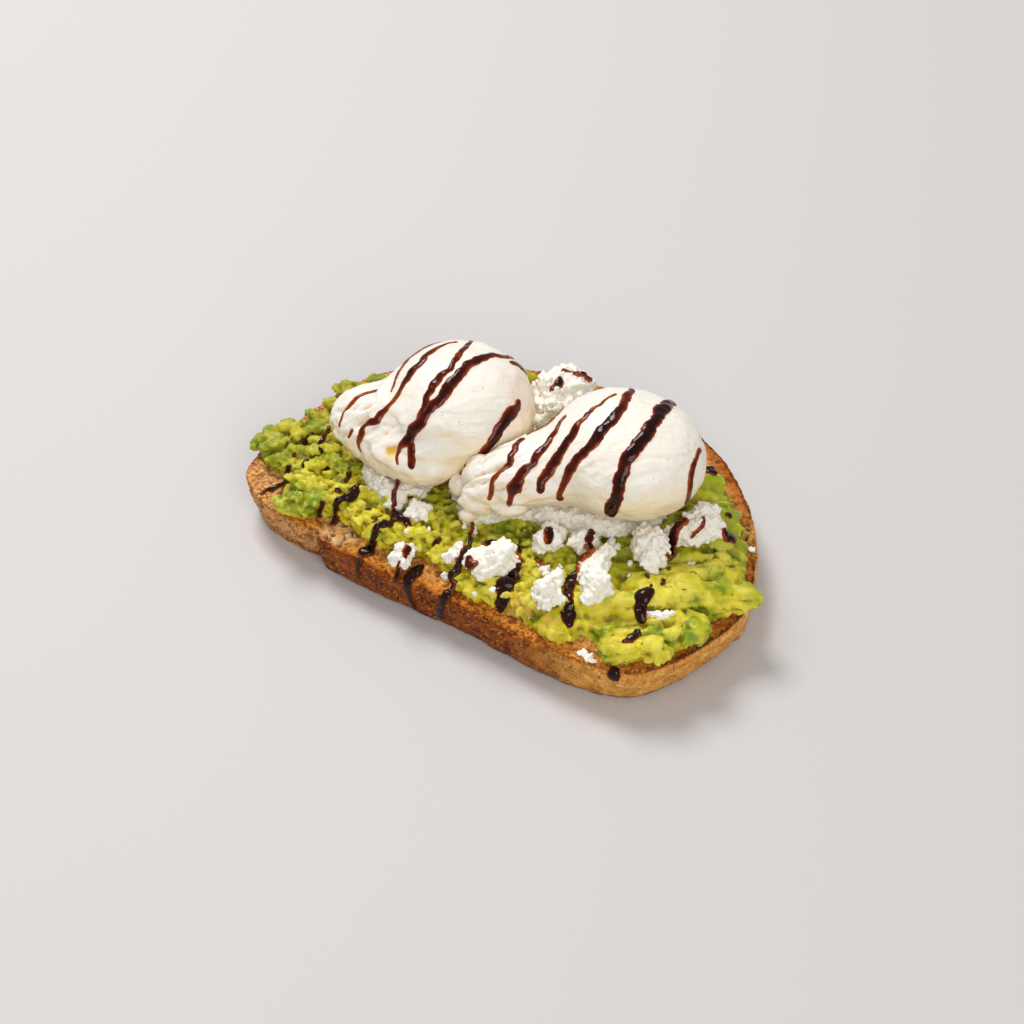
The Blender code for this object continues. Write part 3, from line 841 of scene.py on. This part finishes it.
bits = bmesh.new()
for number, (x, y, size) in enumerate(FETA_BITS):
    z = lying_on([bread, avocado], x, y) + 0.35 * size
    ball = bmesh.ops.create_icosphere(bits, subdivisions=2, radius=0.5 * size * MM)["verts"]
    bmesh.ops.scale(bits, vec=(1.2, 0.8, 0.7), verts=ball)
    bmesh.ops.rotate(bits, matrix=Matrix.Rotation(2.4 * number, 3, "Z"), verts=ball)
    bmesh.ops.translate(bits, vec=Vector((x, y, z)) * MM, verts=ball)
bits_mesh = bpy.data.meshes.new("feta_bits")
bits.to_mesh(bits_mesh)
bits.free()
feta_bits = new_object("feta_bits", bits_mesh)
curd_grains.run(feta_bits, spacing=0.9, smallest=0.6, largest=1.4)
reskin(feta_bits, voxel=0.24)
curd_relief.run(feta_bits, rough=0.3)
stands_for(feta_bits, None)
cheeses.append(feta_bits)


# ---- Balsamic glaze ----
# Thick sweet balsamic syrup drizzled across the toast from a bottle: ribbons over both eggs that
# run down and end in drops, and broken lines and pools on the avocado, the feta and the crust.
# Every route is a row of places in millimetres, each ending in the ribbon's half width there.
STEP = 0.35                   # between the rings of a ribbon
RING_POINTS = 16
WANDER = 2.4                  # how far a ribbon strays to its sides
THIN_ON_WHITE = colour(168, 76, 14), colour(84, 16, 1)
THICK_ON_WHITE = colour(28, 4, 1)
ON_DARK = colour(118, 48, 10), colour(36, 10, 3)
EGG_ROUTES = [
    [(-38, 8, 50, 0.6), (-43.5, -4.5, 51, 0.8), (-43, -12, 50.5, 0.7), (-40, -20, 49, 0.4)],
    [(-33.5, 5.5, 55, 0.8), (-36.5, -5, 56.5, 1.2), (-36.5, -12, 54.5, 1.8), (-37, -18, 51.5, 1.0),
     (-38, -22, 48.5, 0.8), (-41, -27, 43.5, 1.3), (-43.5, -30, 41, 1.1), (-43, -33.5, 33, 0.5)],
    [(-31, 10, 53.5, 0.8), (-26.5, -6, 58.5, 1.1), (-27, -16, 56, 1.4), (-26.5, -24.5, 50, 1.1),
     (-27, -27, 46.5, 1.2)],
    [(-18, 14, 50, 0.9), (-22, -2.5, 58, 1.7), (-22.5, -12.5, 57, 1.9), (-24, -21, 53, 1.6),
     (-27, -27, 46, 1.9), (-28.5, -29, 42.5, 1.8), (-29.5, -31, 40, 0.9), (-28, -34, 36, 0.5)],
    [(-27, -28.5, 43.5, 1.6), (-26, -30, 41, 1.4), (-23.5, -33, 36, 1.3)],
    [(-16, 7, 54, 0.8), (-15, 11, 50, 1.4), (-13, 15, 45, 0.9)],
    [(-6.5, -0.5, 49.5, 1.2), (-5.5, -10.5, 47.5, 2.0), (-7, -18, 42, 1.6), (-9.5, -20.5, 38.5, 1.0),
     (-12.5, -22.5, 35, 1.3)],
    [(-46, -18, 46.5, 0.5), (-51, -25, 44.5, 0.7), (-52, -32, 37.5, 0.4)],
    [(-47, -31.5, 40.5, 0.6), (-48, -33, 36, 0.5)],
    [(6, 5, 49, 0.6), (2, -2, 48, 0.9), (0, -8, 46, 0.7)],
    [(2, -10.5, 45, 1.0), (3.5, -21, 44, 1.3), (1.5, -26, 40.5, 0.9), (1.5, -29, 33.5, 0.8)],
    [(11, -1, 52, 0.8), (11, -11.5, 48, 1.4), (10, -20.5, 44.5, 1.2), (8, -25, 40, 2.2),
     (7, -26, 36, 1.0), (6.5, -26, 32, 0.9)],
    [(21, 11.5, 56, 0.5), (18, -1, 55.5, 0.9), (17.5, -9, 52, 1.5), (16.5, -15.5, 46.5, 1.7),
     (15, -21, 41.5, 1.3), (15, -22.5, 38, 1.1)],
    [(22.5, 17.5, 54, 1.0), (26.5, 3, 57.5, 1.8), (25.5, -9, 54.5, 1.9), (22, -16, 46.5, 1.5),
     (20.5, -19, 39, 1.0), (20, -19, 35, 1.4)],
    [(33, 26, 46, 1.0), (34, 18.5, 53.5, 2.0), (37.5, 4, 56.5, 2.3), (37.5, -8, 53.5, 2.1),
     (38, -15, 46, 2.0), (37, -16, 40, 2.3), (36.5, -15.5, 34, 1.2)],
    [(49.6, 13, 47.5, 0.8), (50.8, 7.5, 48.3, 1.0), (51.8, 3.5, 47, 1.3), (52.9, 1.2, 43.5, 1.3),
     (53.6, 0.5, 39, 1.2), (53, 1, 34, 1.2)],
]
LAID_ROUTES = [
    [(-28, -34, 31, 0.7), (-28.5, -36, 26, 0.9), (-27.5, -38.5, 0.8)],
    [(-24.5, -32.5, 26, 1.3), (-24.5, -35, 24, 1.0)],
    [(-12, 31, 1.3), (-11, 27, 1.7), (-10.5, 23.5, 0.9)],
    [(-15, 35, 0.5), (-11.5, 36.5, 0.9), (-8.5, 38, 1.2), (-5.5, 40, 0.6)],
    [(-3, -30, 0.5), (0, -37, 0.8), (2.5, -43, 1.0), (4, -47, 1.5), (3.5, -50.5, 1.7),
     (3.5, -54, 15, 1.5), (2, -56, 10, 1.3), (1, -55.5, 5, 1.4), (0.5, -55, 2.5, 2.0)],
    [(6, -46.5, 0.9), (8.5, -49.5, 1.5), (10.5, -47, 0.8)],
    [(12, -29, 0.6), (15.5, -34, 0.9), (18.5, -39.5, 1.4), (18.8, -44, 2.3), (19.2, -48, 2.2),
     (20.5, -51.5, 0.9)],
    [(20, -23.5, 0.9), (21.5, -26.5, 1.9), (22.5, -29.5, 1.0)],
    [(25, -34.5, 1.0), (22.5, -32.5, 0.8), (19.5, -32, 1.0)],
    [(30.5, -17.5, 0.9), (32.5, -21.5, 1.3), (35.5, -27, 1.1), (34.5, -33, 1.6), (37.5, -40, 1.5),
     (41, -45, 2.3), (43, -48.5, 0.8)],
    [(53, 1, 0.9), (52.5, -4, 1.7), (53, -9, 1.0), (55, -14.5, 0.7)],
    [(57.5, 4, 0.5), (58, -1, 0.7), (56.5, -4, 0.5)],
    [(56.5, -15, 1.0), (58.5, -15.5, 0.9)], [(58, -19.5, 0.9), (59, -24, 0.8)],
    [(52, -22, 0.6), (55, -22.5, 0.8)], [(56, -25, 0.8), (58, -25.5, 0.8)],
    [(57, -26.5, 1.3), (57.5, -29.5, 2.7), (59, -33.5, 2.0), (61, -36.5, 1.1)],
    [(61, -37.5, 0.8), (61.6, -42, 1.6), (61.5, -45, 1.2), (60.5, -48, 0.8)],
    [(62.5, 5, 1.6), (64.5, 7, 2.7), (64.5, 10.5, 1.5)],
    [(40, 37, 1.6), (42.5, 33.5, 2.6), (45, 30, 1.4)],
    [(57, 19, 1.0), (59, 16.5, 1.2)],
    [(59.6, -51, 15, 0.9), (61.2, -52.4, 14.8, 1.9), (61.8, -53, 12.6, 2.0), (61.8, -53, 11, 1.2)],
    [(-67.5, -24, 0.6), (-68.5, -28.5, 1.1), (-68, -31, 0.6)], [(-68, -33.5, 0.9), (-67.5, -35.5, 0.8)],
    [(-68, -37.5, 1.1), (-66.5, -41, 0.8), (-69, -47, 0.7), (-70, -51, 0.4)],
    [(-66, -19, 0.5), (-62.5, -28, 1.0), (-62, -31.5, 1.3)], [(-63, -34.5, 0.6), (-62.5, -38, 1.2)],
    [(-63, -42, 0.9), (-63.5, -48, 0.5)],
    [(-49.5, -32, 0.8), (-47, -34, 1.2), (-47.5, -37, 0.6)], [(-46.5, -40, 0.8), (-46, -43, 1.3)],
    [(-48, -46, 0.9), (-48.5, -49, 0.7)],
    [(-41.5, -36, 0.9), (-40.5, -39, 1.0), (-40.5, -42.5, 2.2), (-42.5, -45.5, 1.2), (-44, -49.5, 0.6)],
    [(-55, -33, 0.6), (-56, -36.5, 0.9)], [(-33.5, -42, 0.9), (-34, -44.5, 0.8)],
    [(-28.5, -41, 1.0), (-25.5, -40, 2.5), (-21.5, -41, 1.5), (-17, -43, 0.9)],
    [(-23.5, -43.5, 0.9), (-24.2, -47, 1.5), (-25.5, -49, 1.1), (-27.3, -50.5, 15, 1.2),
     (-27.5, -53, 15, 0.9)],
    [(-27.5, -41.6, 1.0), (-28.2, -46, 1.2), (-27.5, -48.5, 0.8)],
    [(-30.5, -53.5, 15, 1.2), (-27.5, -53, 15, 2.0), (-25, -50.5, 1.0)],
    [(-28, -54, 15, 0.6), (-28, -56.5, 12, 0.7), (-29.5, -55.5, 4, 0.5)],
    [(-8.5, -39, 0.6), (-9.2, -41.5, 0.9), (-10.2, -43.5, 1.0)],
    [(3.5, -36.8, 0.9), (5, -34, 1.2), (6, -31.5, 0.8)],
    [(-9, -47, 1.0), (-10.5, -52, 1.9), (-10, -56, 11, 1.1), (-9, -56, 6, 1.0),
     (-8, -55, 2, 1.3)],
    [(-13.5, -48.5, 0.9), (-14, -52, 1.3), (-14.5, -55, 15, 0.8), (-14.5, -56, 11.5, 0.9)],
    [(-75.5, -4.5, 1.0), (-73.5, -5, 1.6), (-71, -6.5, 1.3)],
    [(-18.5, -28, 28, 0.5), (-17, -26, 30, 0.7), (-14, -24.5, 31, 0.5), (-10, -24.5, 31, 0.6)],
]

glaze_paint, start = new_material("balsamic_glaze")
place = place_in_mm(start)
thick, clear = recall(start, "thick"), recall(start, "clear")
depth = thick + (place.noise(4.0, 2.0) - 0.5) * 0.7
on_white = depth.smooth(0.05, 0.55).mix(*THIN_ON_WHITE)
on_white = depth.smooth(0.45, 0.80).mix(on_white, THICK_ON_WHITE)
syrup_brown = clear.mix(depth.smooth(0.02, 0.40).mix(*ON_DARK), on_white)
surface(start, syrup_brown, 0.12, place.noise(1.5, 1.0), 0.08, Specular_IOR_Level=0.25)


def attribute(start, name, kind="FLOAT"):
    """A kept number or vector, read back in a recipe."""
    return start.node("GeometryNodeInputNamedAttribute", {"data_type": kind}, {"Name": name},
                      "Attribute")


def unit(vector):
    return vector.node("ShaderNodeVectorMath", {"operation": "NORMALIZE"}, {"Vector": vector})


def syrup(name, pieces, white):
    """A recipe that lays a ribbon of glaze on the pieces along each route, clearer on white ones.

    Its inputs are how closely the ribbon hugs the pieces, how far its route is calmed, how high
    its middle rises, how deep its underside sinks and how far above the pieces it lies."""
    recipe = Recipe(name, hug=1.0, calm=6, rise=0.30, sink=0.3, above=0.0)
    start, dial = recipe.start, recipe.wires
    below, pale = (together([start.node("GeometryNodeObjectInfo", {}, {"Object": piece}, "Geometry")
                             for piece in group]) for group in (pieces, white))

    # The route is rounded off, strays a little, lands on the pieces and is evened out.
    spot = start.node("GeometryNodeInputPosition")
    landed = nearest(below, spot, "Position")
    route = start.node("GeometryNodeMeshToCurve", {}, {"Mesh": start})
    route = start.node("GeometryNodeCurveSplineType", {"spline_type": "CATMULL_ROM"}, {"Curve": route})
    route = start.node("GeometryNodeResampleCurve", {"mode": "LENGTH"},
                       {"Curve": route, "Length": STEP * MM})
    astray = ((spot * (1.0 / MM)).noise(3.5, 1.0, "Color") - (0.5, 0.5, 0.5)) * (WANDER * MM)
    for place in (spot + astray, landed, blur(spot, dial["calm"])):
        route = moved(route, Position=place)
    facing = start.node("GeometryNodeSampleNearestSurface", {"data_type": "FLOAT_VECTOR"}, {
        "Mesh": below, "Value": start.node("GeometryNodeInputNormal"), "Sample Position": spot})
    up = unit(blur(facing, 12))
    side = unit(up.node("ShaderNodeVectorMath", {"operation": "CROSS_PRODUCT"}, {
        "Vector": up, "Vector_001": start.node("GeometryNodeInputTangent")}))

    # Both ends are rounded within their last half width.
    half = attribute(start, "half")
    along = start.node("GeometryNodeSplineParameter", output="Length")
    to_end = along.apply("MINIMUM", start.node("GeometryNodeSplineLength") - along)
    near = (to_end * (1.0 / MM) / half).apply("MINIMUM", 1.0)
    route = remember(route, "fade", (near * (2.0 - near)) ** 0.5)
    for label, vector in (("up", up), ("side", side), ("middle", spot)):
        route = remember(route, label, vector, "FLOAT_VECTOR")
    ring = start.node("GeometryNodeCurvePrimitiveCircle", {},
                      {"Resolution": RING_POINTS, "Radius": MM})
    turn = start.node("GeometryNodeSplineParameter", output="Factor") * (2.0 * math.pi)
    ring = remember(ring, "turn", turn)
    ribbon = start.node("GeometryNodeCurveToMesh", {},
                        {"Curve": route, "Profile Curve": ring, "Fill Caps": True})

    # The rings' points spread to the sides, settle on the pieces and swell upwards.
    turn, fade = attribute(start, "turn"), attribute(start, "fade")
    up, side, middle = (attribute(start, label, "FLOAT_VECTOR") for label in ("up", "side", "middle"))
    across, lift = turn.apply("COSINE"), turn.apply("SINE")
    reach = (middle + side * (across * half * MM)) * (1.0 / MM)
    wide = half * fade * (0.1 + reach.noise(2.2) * 0.6 + reach.noise(5.0) * 1.2)
    flat = middle + side * (across * wide * MM)
    flat = flat + (nearest(below, flat, "Position") - flat) * dial["hug"]
    thick = lift.apply("MAXIMUM") * fade * (half * dial["rise"] + 0.15)
    depth = thick + lift.apply("MINIMUM") * dial["sink"] + dial["above"] * fade
    ribbon = moved(ribbon, Position=flat + up * (depth * MM))
    away = nearest(pale, spot, "Distance")
    ribbon = remember(ribbon, "clear", away.smooth(1.6 * MM, 0.7 * MM))
    recipe.finish(remember(ribbon, "thick", thick), glaze_paint)
    return recipe


def rows(name, routes, pieces):
    """Routes as rows of joined points. A place given without its height lies on the pieces."""
    points, halves, edges = [], [], []
    for route in routes:
        for number, (x, y, *height, half) in enumerate(route):
            z = height[0] if height else lying_on(pieces, x, y)
            if number:
                edges.append((len(points) - 1, len(points)))
            points.append((x * MM, y * MM, z * MM))
            halves.append(half)
    mesh = bpy.data.meshes.new(name)
    mesh.from_pydata(points, edges, [])
    mesh.attributes.new("half", "FLOAT", "POINT").data.foreach_set("value", halves)
    return new_object(name, mesh)


on_eggs = rows("glaze_on_eggs", EGG_ROUTES, eggs)
syrup("syrup_on_eggs", eggs, eggs).run(on_eggs)
base = [bread, avocado] + cheeses
on_toast = rows("glaze_on_toast", LAID_ROUTES, base)
syrup("syrup_on_toast", base + eggs, cheeses).run(on_toast, hug=0.8, calm=8, rise=0.36,
                                                 above=0.42, sink=1.4)
for glaze in (on_eggs, on_toast):
    stands_for(glaze, None)
